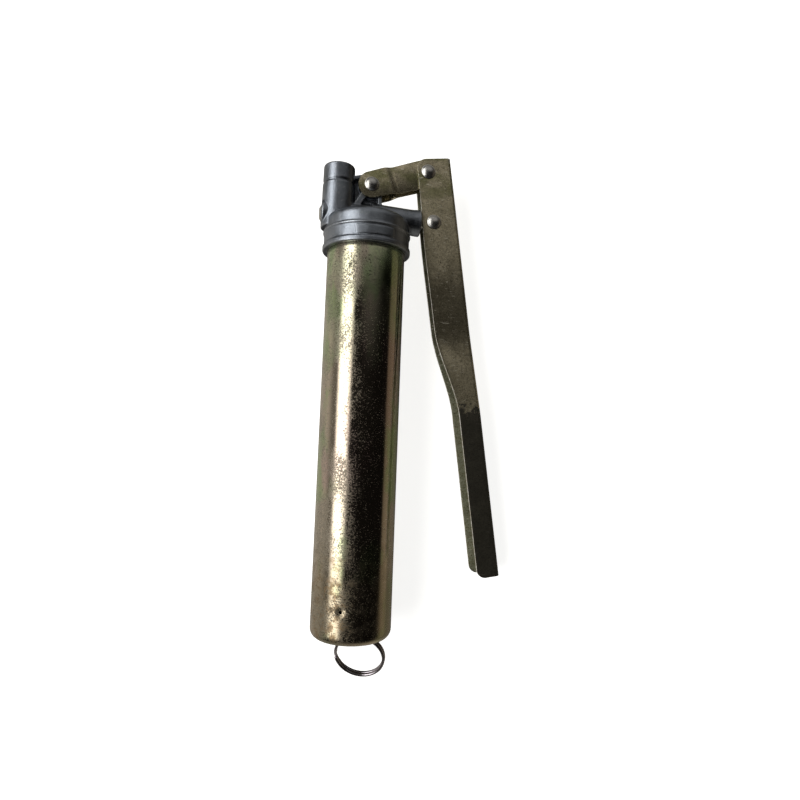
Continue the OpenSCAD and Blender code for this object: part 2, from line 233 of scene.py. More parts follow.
def soft_edges(obj, width, segments=2, angle=35):
    """Rounds the edges that are sharper than an angle."""
    step = obj.modifiers.new("bevel", "BEVEL")
    step.width = width * MM
    step.segments = segments
    step.limit_method = "ANGLE"
    step.angle_limit = math.radians(angle)
    step.use_clamp_overlap = True
    apply_modifiers(obj)


def shade(obj, angle=40):
    """Smooth shading, with edges sharper than an angle kept."""
    obj.data.shade_smooth()
    obj.data.set_sharp_from_angle(angle=math.radians(angle))


def finish_piece(obj, body, material, slot, *nodes):
    """Puts a piece in its place, on its body, in its material, standing for its CAD nodes."""
    obj.data.transform(GUN)
    if not any(obj.data.materials):
        obj.data.materials.clear()
        obj.data.materials.append(material)
    shade(obj)
    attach(obj, body)
    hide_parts(*nodes)


# ---------------------------------------------------------------- materials
class Finish:
    """One node material, built round its Principled shader."""

    def __init__(self, name, metallic=1.0, roughness=0.3, color=(0.5, 0.5, 0.5)):
        self.material = bpy.data.materials.new(name)
        self.material.use_nodes = True
        self.nodes = self.material.node_tree.nodes
        self.links = self.material.node_tree.links
        self.shader = self.nodes["Principled BSDF"]
        self.set("Metallic", metallic)
        self.set("Roughness", roughness)
        self.set("Base Color", (*color, 1))
        self.place = self.add("ShaderNodeTexCoord").outputs["Object"]

    def set(self, socket, value):
        """A constant goes on the shader's own socket, and anything else is linked to it."""
        if isinstance(value, bpy.types.NodeSocket):
            self.links.new(value, self.shader.inputs[socket])
        else:
            self.shader.inputs[socket].default_value = value

    def add(self, kind, values=None, **properties):
        """A new node: values and sockets go to its inputs, and properties onto the node."""
        node = self.nodes.new(kind)
        for key, value in properties.items():
            setattr(node, key, value)
        for key, value in (values or {}).items():
            if isinstance(value, bpy.types.NodeSocket):
                self.links.new(value, node.inputs[key])
            else:
                node.inputs[key].default_value = value
        return node

    def noise(self, size, detail=3.0, roughness=0.6, stretch=(1, 1, 1), shift=(0, 0, 0)):
        """Noise whose features are about a size across, in millimetres."""
        scale = tuple(1 / (size * MM * s) for s in stretch)
        where = self.add("ShaderNodeMapping", {"Vector": self.place, "Scale": scale, "Location": shift})
        node = self.add("ShaderNodeTexNoise", {"Vector": where.outputs["Vector"], "Scale": 1.0,
                                               "Detail": detail, "Roughness": roughness})
        return node.outputs["Fac"]

    def cells(self, size, stretch=(1, 1, 1), shift=(0, 0, 0)):
        """Distance to the nearest of scattered points, about a size apart."""
        scale = tuple(1 / (size * MM * s) for s in stretch)
        where = self.add("ShaderNodeMapping", {"Vector": self.place, "Scale": scale, "Location": shift})
        node = self.add("ShaderNodeTexVoronoi", {"Vector": where.outputs["Vector"], "Scale": 1.0})
        return node.outputs["Distance"]

    def height(self, axis="Y"):
        """The place along an axis of the piece, in metres."""
        return self.add("ShaderNodeSeparateXYZ", {"Vector": self.place}).outputs[axis]

    def ramp(self, value, low, high, out_low=0.0, out_high=1.0, smooth=True):
        """Takes a value from one range to another."""
        node = self.add("ShaderNodeMapRange", {"Value": value, "From Min": low, "From Max": high,
                                               "To Min": out_low, "To Max": out_high})
        node.interpolation_type = "SMOOTHSTEP" if smooth else "LINEAR"
        return node.outputs["Result"]

    def math(self, operation, a, b=0.0):
        """One math operation on two numbers or sockets."""
        return self.add("ShaderNodeMath", {0: a, 1: b}, operation=operation).outputs[0]

    def blend(self, amount, a, b):
        """Mixes two colours."""
        node = self.add("ShaderNodeMix", data_type="RGBA")
        for socket, value in ((0, amount), (6, a), (7, b)):
            if isinstance(value, bpy.types.NodeSocket):
                self.links.new(value, node.inputs[socket])
            else:
                node.inputs[socket].default_value = value if socket == 0 else (*value, 1)
        return node.outputs[2]

    def bump(self, heights, depth):
        """Surface relief: heights from 0 to 1 over a depth in millimetres."""
        node = self.add("ShaderNodeBump", {"Height": heights, "Strength": 1.0, "Distance": depth * MM})
        self.set("Normal", node.outputs["Normal"])

    def crevices(self, reach):
        """How far open the surface is, from 0 in a crevice, looking a few millimetres round."""
        node = self.add("ShaderNodeAmbientOcclusion", {"Distance": reach * MM}, samples=6)
        return node.outputs["AO"]

    def edges(self, reach):
        """How deep the metal is under the surface, from 0 at a sharp edge."""
        node = self.add("ShaderNodeAmbientOcclusion", {"Distance": reach * MM}, samples=6, inside=True)
        return node.outputs["AO"]


def barrel_finish():
    """Chromate plating over drawn steel: olive near the head, brown-gold below, peppered with tarnish."""
    f = Finish("plated_barrel")
    drift = f.noise(40, 2)
    along_y, across = f.height(), f.height("X")
    up = f.ramp(f.math("ADD", along_y, f.ramp(drift, 0.3, 0.7, -0.03, 0.03)), 0.02, 0.10)
    plated = f.blend(up, (0.50, 0.43, 0.34), (0.50, 0.50, 0.345))
    green = f.ramp(f.noise(24, 3, stretch=(1, 2, 1), shift=(3, 1, 7)), 0.52, 0.66)
    plated = f.blend(f.math("MULTIPLY", green, 0.7), plated, (0.34, 0.45, 0.22))
    rainbow = f.ramp(f.noise(22, 2, stretch=(1, 3, 1), shift=(9, 2, 4)), 0.56, 0.70)
    plated = f.blend(f.math("MULTIPLY", rainbow, 0.5), plated, (0.53, 0.38, 0.35))
    # painted shade darkening the closed end, and heavy brown stains above it
    ragged = f.ramp(f.noise(9, 4, shift=(3, 3, 3)), 0.3, 0.7, -0.012, 0.012)
    low = f.ramp(f.math("ADD", along_y, ragged), -0.128, -0.088, 1.0, 0.0)
    plated = f.blend(f.math("MULTIPLY", low, 0.55), plated, (0.24, 0.195, 0.115))
    # tarnish: dull specks, thick in patches and thin round the lever side
    side = f.ramp(across, -0.042, -0.026, 1.0, 0.12)
    blotch = f.ramp(f.noise(7, 5, 0.75, shift=(6, 2, 6)), 0.47, 0.58)
    blotch = f.math("MULTIPLY", blotch, f.math("MULTIPLY", low, side))
    plated = f.blend(f.math("MULTIPLY", blotch, 0.75), plated, (0.17, 0.105, 0.045))
    patches = f.noise(20, 4, 0.6, stretch=(1, 1.8, 1), shift=(5, 5, 1))
    specks = f.noise(1.15, 5, 0.78)
    thick = f.math("MULTIPLY", f.ramp(patches, 0.32, 0.66, 0.02, 0.17), side)
    tarnish = f.ramp(f.math("ADD", specks, thick), 0.585, 0.68)
    color = f.blend(f.math("MULTIPLY", tarnish, 0.75), plated, (0.12, 0.105, 0.075))
    pits = f.ramp(f.cells(3.0, shift=(2, 8, 3)), 0.09, 0.15, 1.0, 0.0)
    pits = f.math("MULTIPLY", pits, f.ramp(f.noise(14, 3, shift=(1, 4, 4)), 0.50, 0.56))
    upper_right = f.ramp(f.math("ADD", along_y, across), 0.030, 0.062)
    etched = f.math("MULTIPLY", f.ramp(specks, 0.555, 0.60), upper_right)
    pits = f.math("MAXIMUM", pits, etched)
    color = f.blend(f.math("MULTIPLY", pits, 0.9), color, (0.012, 0.011, 0.008))
    f.set("Base Color", color)
    edge = f.math("ADD", along_y, f.ramp(patches, 0.3, 0.7, -0.01, 0.01))
    dull = f.ramp(edge, 0.080, 0.104, 0.0, 0.13)
    tarnish = f.math("MULTIPLY", tarnish, 0.42)
    covered = f.math("MAXIMUM", f.math("MULTIPLY", blotch, 0.3), f.math("MAXIMUM", dull, tarnish))
    f.set("Metallic", f.math("SUBTRACT", 1.0, covered))
    rough = f.math("ADD", f.ramp(tarnish, 0, 0.42, 0.11, 0.42), f.math("MULTIPLY", dull, 0.6))
    # rougher where the closed end carries the painted shade, and on the stains
    shade_and_grime = f.math("ADD", f.math("MULTIPLY", low, 0.05), f.math("MULTIPLY", blotch, 0.15))
    rough = f.math("ADD", rough, shade_and_grime)
    f.set("Roughness", f.math("ADD", rough, f.ramp(patches, 0.3, 0.7, 0.0, 0.06)))
    grit = f.math("MULTIPLY", f.noise(0.8, 4, 0.7, shift=(4, 4, 4)), f.ramp(patches, 0.30, 0.64, 0.25, 1.0))
    grit = f.math("MULTIPLY", grit, f.math("MAXIMUM", side, low))
    f.bump(f.math("ADD", grit, f.math("MULTIPLY", f.noise(9, 2, shift=(2, 2, 2)), 0.9)), 0.05)
    return f.material


def sheet_finish(name="plated_sheet", inside=False):
    """The same plating on pressed sheet: dull, scratched and browner, with a blackened grip outside."""
    f = Finish(name)
    drift = f.noise(16, 4, 0.6)
    along_y = f.height()
    if inside:
        color = f.blend(f.ramp(drift, 0.32, 0.68), (0.28, 0.285, 0.20), (0.40, 0.40, 0.29))
    else:
        color = f.blend(f.ramp(drift, 0.32, 0.68), (0.41, 0.36, 0.245), (0.60, 0.53, 0.375))
    green = f.ramp(f.noise(10, 3, 0.6, stretch=(1.8, 1, 1), shift=(2, 6, 1)), 0.40, 0.66)
    up = f.ramp(along_y, 0.140, 0.175)
    color = f.blend(f.math("MULTIPLY", f.math("MULTIPLY", green, up), 0.75), color, (0.19, 0.20, 0.075))
    grain = f.noise(1.2, 5, 0.8, shift=(1, 5, 8))
    color = f.blend(f.ramp(grain, 0.36, 0.54, 0.8, 0.0), color, (0.11, 0.095, 0.055))
    # painted shade: a ragged dark band part way down the sheet, standing in for a darker reflection there
    shaded_band_y = f.math("ADD", along_y, f.ramp(f.noise(8, 4, shift=(4, 4, 1)), 0.3, 0.7, -0.006, 0.006))
    band = f.math("MULTIPLY", f.ramp(shaded_band_y, 0.038, 0.056), f.ramp(shaded_band_y, 0.088, 0.120, 1.0, 0.0))
    color = f.blend(f.math("MULTIPLY", band, 0.66), color, (0.075, 0.066, 0.042))
    bright = f.ramp(f.noise(1.0, 4, 0.8, shift=(8, 8, 1)), 0.60, 0.68)
    color = f.blend(f.math("MULTIPLY", bright, 0.65), color, (0.88, 0.80, 0.62))
    lines = f.ramp(f.noise(0.8, 2, 0.5, stretch=(9, 1.2, 1), shift=(3, 3, 9)), 0.63, 0.68)
    lines = f.math("MULTIPLY", lines, f.ramp(f.noise(12, 2, shift=(6, 1, 3)), 0.42, 0.58))
    color = f.blend(f.math("MULTIPLY", lines, 0.7), color, (0.85, 0.80, 0.66))
    pits = f.ramp(f.noise(1.7, 5, 0.8, shift=(7, 7, 2)), 0.60, 0.645)
    color = f.blend(f.math("MULTIPLY", pits, 0.85), color, (0.04, 0.034, 0.02))
    # painted shade: the sheet's colour darkened in its crevices and inner corners
    shade_and_grime = f.ramp(f.crevices(4 if inside else 7), 0.10, 0.55, 1.0, 0.0)
    color = f.blend(f.math("MULTIPLY", shade_and_grime, 0.8), color, (0.03, 0.027, 0.018))
    if inside:
        f.set("Base Color", color)
        f.set("Metallic", 0.55)
        f.set("Roughness", f.ramp(f.noise(4, 4), 0.3, 0.7, 0.36, 0.5))
    else:
        ragged = f.math("ADD", along_y, f.ramp(f.noise(3.5, 5, 0.7), 0.3, 0.7, -0.007, 0.007))
        handle = f.ramp(ragged, 0.0, 0.006, 1.0, 0.0)
        chips = f.ramp(f.noise(0.9, 4, 0.75, shift=(2, 1, 9)), 0.68, 0.72, 1.0, 0.55)
        handle = f.math("MULTIPLY", handle, chips)
        f.set("Base Color", f.blend(f.math("MULTIPLY", handle, 0.94), color, (0.008, 0.008, 0.0075)))
        f.set("Metallic", f.ramp(handle, 0, 1, 0.82, 0.3, smooth=False))
        f.set("Specular IOR Level", 0.3)
        rough = f.math("ADD", f.ramp(handle, 0, 1, 0.18, 0.42), f.ramp(f.noise(4, 4), 0.3, 0.7, -0.03, 0.05))
        f.set("Roughness", f.math("ADD", rough, f.math("MULTIPLY", pits, 0.15)))
    f.bump(f.math("ADD", f.math("MULTIPLY", grain, 0.7), f.noise(11, 2, shift=(1, 1, 1))), 0.04)
    return f.material


def cut_edge_finish():
    """The sheared edge of the sheet, worn bright."""
    f = Finish("cut_edge", 0.55, 0.3, (0.75, 0.73, 0.66))
    color = f.blend(f.ramp(f.noise(2.5, 4), 0.4, 0.62), (0.55, 0.51, 0.40), (0.92, 0.91, 0.86))
    f.set("Base Color", color)
    f.set("Roughness", f.ramp(f.noise(1.5, 3), 0.3, 0.7, 0.22, 0.42))
    f.bump(f.noise(0.7, 2), 0.03)
    return f.material


def cast_finish():
    """Die-cast aluminium: grey-blue skin, fine grain, flow marks, worn edges, painted shade in the corners."""
    f = Finish("cast_aluminium")
    flow = f.noise(13, 4, 0.62, stretch=(1, 2.2, 1))
    color = f.blend(f.ramp(flow, 0.3, 0.7), (0.175, 0.192, 0.22), (0.285, 0.31, 0.352))
    bright = f.ramp(f.noise(3.2, 5, 0.7, shift=(6, 1, 1)), 0.56, 0.76)
    color = f.blend(f.math("MULTIPLY", bright, 0.5), color, (0.50, 0.52, 0.55))
    ragged = f.ramp(f.noise(1.1, 4, 0.7), 0.3, 0.7, -0.10, 0.10)
    rubbed = f.ramp(f.math("ADD", f.edges(1.6), ragged), 0.66, 0.93, 1.0, 0.0)
    color = f.blend(f.math("MULTIPLY", rubbed, 0.55), color, (0.62, 0.64, 0.66))
    # painted shade: the colour darkened in corners and crevices, broken up with noise
    open_sky = f.math("ADD", f.crevices(5), f.ramp(f.noise(2.4, 4), 0.3, 0.7, -0.14, 0.14))
    shade_and_grime = f.ramp(open_sky, 0.45, 0.88, 1.0, 0.0)
    color = f.blend(f.math("MULTIPLY", shade_and_grime, 0.8), color, (0.04, 0.043, 0.05))
    specks = f.ramp(f.noise(0.9, 4, 0.75, shift=(3, 9, 5)), 0.64, 0.70)
    color = f.blend(f.math("MULTIPLY", specks, 0.5), color, (0.05, 0.053, 0.06))
    f.set("Base Color", color)
    rough = f.math("ADD", f.ramp(flow, 0.3, 0.7, 0.30, 0.40), f.math("MULTIPLY", shade_and_grime, 0.2))
    f.set("Roughness", f.math("ADD", rough, f.ramp(f.noise(1.2, 3), 0.3, 0.7, -0.05, 0.06)))
    grain = f.math("ADD", f.noise(0.8, 4, 0.65), f.math("MULTIPLY", f.noise(5, 3, shift=(8, 2, 2)), 1.8))
    f.bump(grain, 0.11)
    return f.material


def steel_finish(name, color, roughness, streaks=(1, 1, 1), spots=0.35):
    """Bright turned or formed steel with handling marks."""
    f = Finish(name)
    tone = f.ramp(f.noise(4, 4, 0.65), 0.3, 0.7)
    low = tuple(c * 0.72 for c in color)
    body = f.blend(tone, low, color)
    stain = f.ramp(f.noise(1.6, 4, 0.7, shift=(4, 9, 2)), 0.58, 0.72)
    body = f.blend(f.math("MULTIPLY", stain, spots), body, (0.10, 0.09, 0.075))
    f.set("Base Color", body)
    rub = f.noise(0.6, 3, 0.6, stretch=streaks)
    f.set("Roughness", f.math("ADD", f.ramp(rub, 0.3, 0.7, roughness - 0.05, roughness + 0.07),
                              f.math("MULTIPLY", stain, 0.18)))
    f.bump(f.math("ADD", rub, f.math("MULTIPLY", f.noise(2.6, 2, shift=(1, 7, 7)), 1.2)), 0.02)
    return f.material


def rubber_finish():
    """Matt nitrile with bloom and moulding grain."""
    f = Finish("nitrile", 0.0, 0.6, (0.02, 0.02, 0.022))
    bloom = f.ramp(f.noise(6, 4, 0.65), 0.35, 0.7)
    f.set("Base Color", f.blend(bloom, (0.016, 0.016, 0.018), (0.045, 0.045, 0.048)))
    f.set("Roughness", f.ramp(f.noise(2, 3), 0.3, 0.7, 0.5, 0.72))
    f.bump(f.noise(0.5, 3), 0.03)
    return f.material


FINISH = {
    "plated_barrel": barrel_finish(),
    "plated_sheet": sheet_finish(),
    "cast_aluminium": cast_finish(),
    "bright_steel": steel_finish("bright_steel", (0.66, 0.66, 0.65), 0.24, (1, 6, 1)),
    "rivet_steel": steel_finish("rivet_steel", (0.56, 0.55, 0.53), 0.30, (1, 1, 3), 0.5),
    "ring_steel": steel_finish("ring_steel", (0.42, 0.39, 0.42), 0.17, (1, 1, 1), 0.4),
    "dark_steel": steel_finish("dark_steel", (0.24, 0.24, 0.25), 0.35),
    "copper": steel_finish("copper", (0.72, 0.42, 0.28), 0.3),
    "brass": steel_finish("brass", (0.66, 0.52, 0.27), 0.28),
    "rubber": rubber_finish(),
}
CUT_EDGE = cut_edge_finish()
SHEET_INSIDE = sheet_finish("plated_sheet_inside", inside=True)


# ---------------------------------------------------------------- barrel
def make_barrel():
    """The drawn tube with its rolled corner, pressed-in centre and punched vent."""
    end, rim, radius = BARREL_LOW.y, BARREL_HIGH.y, BARREL_HIGH.x
    wall, corner, dish_r, dish_y, hole_r = 1.2, 6.5, 17.5, end + 6, 4.6
    vent_angle, vent_y, vent_r, dent_r = -21, end + 23, 1.15, 4.2
    draft = 2                                          # how far the pressed-in centre's wall leans
    outer = [(hole_r, dish_y), *rounded_run([(hole_r, dish_y), (dish_r - draft, dish_y), (dish_r, end)], 1.6),
             *arc(radius - corner, end + corner, corner, -90, 0, 12)]
    # close rows round the vent, and wide ones above it
    rows = [end + corner + 1 + k * 0.5 for k in range(46)] + [end + 60 + k * 12 for k in range(18)]
    outer += [(radius, y) for y in rows if y < rim - 2] + [(radius, rim - 0.5), (radius - 0.3, rim)]
    inner = [(radius - wall + 0.2, rim), (radius - wall, rim - 0.4), (radius - wall, end + corner)]
    inner += arc(radius - corner, end + corner, corner - wall, 0, -90, 8)
    inner += rounded_run([(dish_r + wall, end + wall), (dish_r - draft + wall, dish_y + wall),
                          (hole_r, dish_y + wall)], 1.2)
    bm = bmesh.new()
    add_lathe(bm, outer + inner, 256)
    vent = Vector((math.sin(math.radians(vent_angle)), 0, math.cos(math.radians(vent_angle))))
    centre = vent * radius + Vector((0, vent_y, 0))
    for v in bm.verts:
        away = (v.co - centre).length
        if away < dent_r and Vector((v.co.x, 0, v.co.z)).length > radius - 0.3:
            v.co -= vent * 0.95 * (0.5 + 0.5 * math.cos(math.pi * away / dent_r))
    barrel = to_object(bm, "barrel_tube")
    punch = bmesh.new()
    turn = Vector((0, 1, 0)).rotation_difference(vent).to_matrix().to_4x4()
    add_lathe(punch, [(0, -5), (vent_r, -5), (vent_r, 3), (0, 3)], 32, Matrix.Translation(centre) @ turn)
    boolean(barrel, to_object(punch, "punch"))
    finish_piece(barrel, "barrel", FINISH["plated_barrel"], "plated_barrel", "barrel")


# ---------------------------------------------------------------- head
STUB_X, HORN_X = HEAD_LOW.x, 39.6                     # the pump cylinder's left and right ends
COLLAR_R = HEAD_HIGH.z
OUTLET = Vector((-22.4, HEAD_HIGH.y, 0))
OUTLET_BORE = 4.3
AT_PUMP, AT_OUTLET = (0, PUMP_Y, 0), (OUTLET.x, 0, 0)  # a point on each bore's axis


def add_nameplate(bm, radius, y0, y1, a0, a1, steps=28):
    """A blank raised pad, bent round the collar."""
    grid = []
    for i in range(steps + 1):
        a = math.radians(a0 + (a1 - a0) * i / steps)
        out = Vector((math.sin(a), 0, math.cos(a)))
        grid.append([bm.verts.new(out * r + Vector((0, y, 0))) for r, y in
                     ((radius - 2, y0), (radius, y0), (radius, y1), (radius - 2, y1))])
    for a, b in zip(grid, grid[1:]):
        for k in range(4):
            m = (k + 1) % 4
            bm.faces.new((a[k], a[m], b[m], b[k]))
    bm.faces.new(grid[0][::-1])
    bm.faces.new(grid[-1])


def add_collar(bm):
    """The collar with its two bands, and the crown over it."""
    r = COLLAR_R
    band, lip, crown = r - 0.95, r - 0.1, r - 1.7      # radius of each step above the foot
    outline = [(0, 0), (r, 0, 0.8), (r, 3.3, 0.9), (band, 4.3, 0.4), (band, 12.3, 0.4), (lip, 13.1, 0.7),
               (lip, 14.3, 0.8), (crown, 15.0, 0.4), (crown, 26.5, 10.3), (10, 26.9), (0, 27.0)]
    add_lathe(bm, rounded(outline, 8), 192)
    add_nameplate(bm, radius=r - 0.45, y0=5.2, y1=11.4, a0=-20, a1=30)


def add_bosses(bm):
    """The round parts of the casting: axis, point, start, end, radius at each, and a rounded edge."""
    for boss in (("X", AT_PUMP, STUB_X, HORN_X, 9.5, 9.5, 0.9),                   # pump cylinder
                 ("X", AT_PUMP, 2, HORN_X - 7, 11, 9.5),                          # its thicker root
                 ("X", AT_PUMP, HORN_X - 5, HORN_X, 9.6, 9.9, 0.5),               # its lip
                 ("Y", AT_OUTLET, 17, OUTLET.y - 14.2, 12.2, 11.9),               # outlet boss
                 ("Y", AT_OUTLET, OUTLET.y - 15, OUTLET.y - 12, 11.0, 11.0),      # groove round it
                 ("Y", AT_OUTLET, OUTLET.y - 12.9, OUTLET.y, 11.75, 11.6, 1.2),   # its cap
                 ("Z", (ANCHOR.x, ANCHOR.y, 0), -6, 6, 9.2)):                     # link's lug
        add_rod(bm, *boss)


def add_bracket(bm):
    """The link's bracket: a thin web and the ribs along its sides."""
    x, y, left = ANCHOR.x, ANCHOR.y, OUTLET.x
    web, rib = 2.6, 6                                  # half their thickness
    for half, outline in ((web, [(left, 24), (9.4, 24), (x + 7, y), (x - 2, y + 8.4), (left, 56.5)]),
                          (rib, [(-17, 26), (-12.4, 26), (x - 2.5, y - 7.2), (x - 6.5, y - 5)]),
                          (rib, [(6.4, 24), (9.4, 24), (x + 8.4, y - 2), (x + 5.4, y - 4)]),
                          (rib, [(left + 9, 53.6), (x - 2, y + 5.8), (x - 2, y + 8.8), (left + 9, 56.6)])):
        add_plate(bm, outline, -half, half)


def head_blank():
    """The casting before machining, with its shapes run into each other by fillets."""
    bm = bmesh.new()
    add_collar(bm)
    add_bosses(bm)
    add_bracket(bm)
    blank = to_object(bm, "head_casting")
    grow = blank.modifiers.new("voxels", "REMESH")
    grow.mode = "VOXEL"
    grow.voxel_size = 0.4 * MM
    apply_modifiers(blank)
    crisp = 0.28                                       # the collar's bands keep more of their edges
    soft = blank.vertex_groups.new(name="soft")
    for v in blank.data.vertices:
        x, y, z = (c / MM for c in v.co)
        soft.add([v.index], crisp if y < 16 and math.hypot(x, z) > 30 else 1.0, "REPLACE")
    smooth = blank.modifiers.new("fillets", "SMOOTH")
    smooth.factor = 0.6
    smooth.iterations = 7
    smooth.vertex_group = "soft"
    apply_modifiers(blank)
    blank.vertex_groups.clear()
    return blank


def outlet_cutter():
    """The outlet's thread, as a helical V bar that cuts its groove into the bore."""
    bore, depth, pitch, groove = OUTLET_BORE, 11.5, 0.95, 0.5
    hidden = bore - 0.6                                # the bar's back, inside the bore
    bm = bmesh.new()
    per_turn = 48
    turns = int(depth / pitch)
    rows = []
    for k in range(turns * per_turn + 1):
        a = 2 * math.pi * k / per_turn
        y = OUTLET.y - depth + pitch * k / per_turn
        out = Vector((math.sin(a), 0, math.cos(a)))
        rows.append([bm.verts.new(OUTLET + out * r + Vector((0, y + dy - OUTLET.y, 0)))
                     for r, dy in ((hidden, 0.1), (bore + 0.02, 0.12), (bore + groove, pitch * 0.5),
                                   (bore + 0.02, pitch - 0.12), (hidden, pitch - 0.1))])
    for a, b in zip(rows, rows[1:]):
        for k in range(4):
            bm.faces.new((a[k], a[k + 1], b[k + 1], b[k]))
        bm.faces.new((a[4], a[0], b[0], b[4]))
    bm.faces.new(rows[0][::-1])
    bm.faces.new(rows[-1])
    return to_object(bm, "thread_cutter")


def make_head():
    """The casting, then its bores: axis, point, start, end, and one radius or one for each end."""
    head = head_blank()
    for bore in (("Y", (0, 0, 0), -1, 12.6, 28.8),                            # barrel's socket
                 ("Y", (0, 0, 0), 11, 18, 24),                                # cavity over it
                 ("Y", (2, 0, 0), 17, PUMP_Y, 3),                             # gallery to the pump
                 ("X", AT_PUMP, STUB_X + 6, HORN_X + 1, 4.35),                # plunger's bore
                 ("X", AT_PUMP, HORN_X - 12, HORN_X + 1, 6.9),                # packing's chamber
                 ("X", AT_PUMP, STUB_X - 1, STUB_X + 8.5, 4.9),               # plug's hole
                 ("Y", AT_OUTLET, PUMP_Y, 43, 2),                             # check valve's port
                 ("Y", AT_OUTLET, 42, OUTLET.y - 10, 3.6),                    # check valve's chamber
                 ("Y", AT_OUTLET, OUTLET.y - 11.5, OUTLET.y + 1, OUTLET_BORE),  # tapped outlet
                 ("Z", ANCHOR, -8, 8, 5.05),                                  # link rivet's hole
                 ("Y", AT_OUTLET, OUTLET.y - 0.9, OUTLET.y + 0.6, 4.2, 5.7)):  # countersunk mouth
        bm = bmesh.new()
        add_rod(bm, *bore, segments=64)
        boolean(head, to_object(bm, "bore"), solver="MANIFOLD")
    boolean(head, outlet_cutter(), solver="MANIFOLD")
    finish_piece(head, "head", FINISH["cast_aluminium"], "cast_aluminium", "head")


# ---------------------------------------------------------------- lever
LEVER_AXIS = (PIVOT - FULCRUM).normalized()           # down the lever
LEVER_SIDE = Vector((-LEVER_AXIS.y, LEVER_AXIS.x, 0))  # from the pivots out to the web
WEB_X = 18.9                                          # pivots to the web's outer face
LEVER_TOP, LEVER_END = -10.3, 304.0                   # along the lever from the fulcrum
LEVER_NOSE, LEVER_HEEL = 7.0, 6.0                     # corner radius at each end
TAPER_START, TAPER_END = 119, 186                     # where the channel narrows to the handle


def lever_depth(s):
    """How far the flanges reach back from the web, at s along the lever."""
    nose, heel = LEVER_NOSE, LEVER_HEEL
    belly, handle = 27.3, 16.8
    depth = 26.6 + 1.3 * ease(s / 60) - 0.6 * ease((s - 60) / 60)
    depth -= (belly - handle) * ease((s - TAPER_START) / (TAPER_END - TAPER_START))
    if s < LEVER_TOP + nose:
        depth -= nose - math.sqrt(max(nose ** 2 - (LEVER_TOP + nose - s) ** 2, 0))
    if s > LEVER_END - heel:
        depth -= heel - math.sqrt(max(heel ** 2 - (s - LEVER_END + heel) ** 2, 0))
    return depth


def lever_half_width(s):
    """Half the outside width, at s along the lever: the handle flares between two soft creases."""
    start, end, narrow, wide = 128, 186, 6.1, 10.5
    slope = (wide - narrow) / (end - start)
    for crease, before, after, blend in ((start, 0, slope, 9), (end, slope, 0, 2.5)):
        if abs(s - crease) < blend:
            t = s - crease + blend
            level = narrow if crease == start else wide
            return level + before * (t - blend) + (after - before) * t * t / (4 * blend)
    return narrow + slope * min(max(s - start, 0), end - start)


def channel_section(depth, half, bend=2.6, flange_steps=9, web_steps=8):
    """The middle line of the channel's section as (side, z), from one flange's edge to the other's."""
    web = WEB_X - SHEET / 2
    z = half - SHEET / 2
    edge = WEB_X - depth
    start = web - bend
    side = [(edge + (start - edge) * k / flange_steps, z) for k in range(flange_steps)]
    side += arc(start, z - bend, bend, 90, 0, 6)
    middle = [(web, (z - bend) * (1 - 2 * k / web_steps)) for k in range(1, web_steps)]
    return side + middle + [(u, -v) for u, v in side[::-1]]


def make_lever():
    """The pressed channel: sheet with rounded bends, a flared handle and bright sheared edges."""
    straight = LEVER_END - LEVER_TOP - (LEVER_NOSE + LEVER_HEEL)
    top = [LEVER_TOP + s for s in eased_rows(LEVER_NOSE)]
    middle = [LEVER_TOP + LEVER_NOSE + straight * k / 120 for k in range(1, 120)]
    tail = [LEVER_END - s for s in eased_rows(LEVER_HEEL)[::-1]]
    bm = bmesh.new()
    rows = []
    for s in top + middle + tail:
        base = FULCRUM + LEVER_AXIS * s
        section = channel_section(lever_depth(s), lever_half_width(s))
        rows.append([bm.verts.new(base + LEVER_SIDE * u + Vector((0, 0, v))) for u, v in section])
    for a, b in zip(rows, rows[1:]):
        for k in range(len(a) - 1):
            bm.faces.new((a[k], a[k + 1], b[k + 1], b[k]))
    lever = to_object(bm, "lever_channel")
    lever.data.materials.append(FINISH["plated_sheet"])
    lever.data.materials.append(CUT_EDGE)
    lever.data.materials.append(SHEET_INSIDE)
    thick = lever.modifiers.new("sheet", "SOLIDIFY")
    thick.thickness = SHEET * MM
    thick.offset = 0
    thick.use_even_offset = True
    thick.use_rim = True
    thick.material_offset_rim = 1
    thick.material_offset = 2
    apply_modifiers(lever)
    soft_edges(lever, 0.28, 2, 50)
    finish_piece(lever, "lever", FINISH["plated_sheet"], "plated_sheet", "lever")


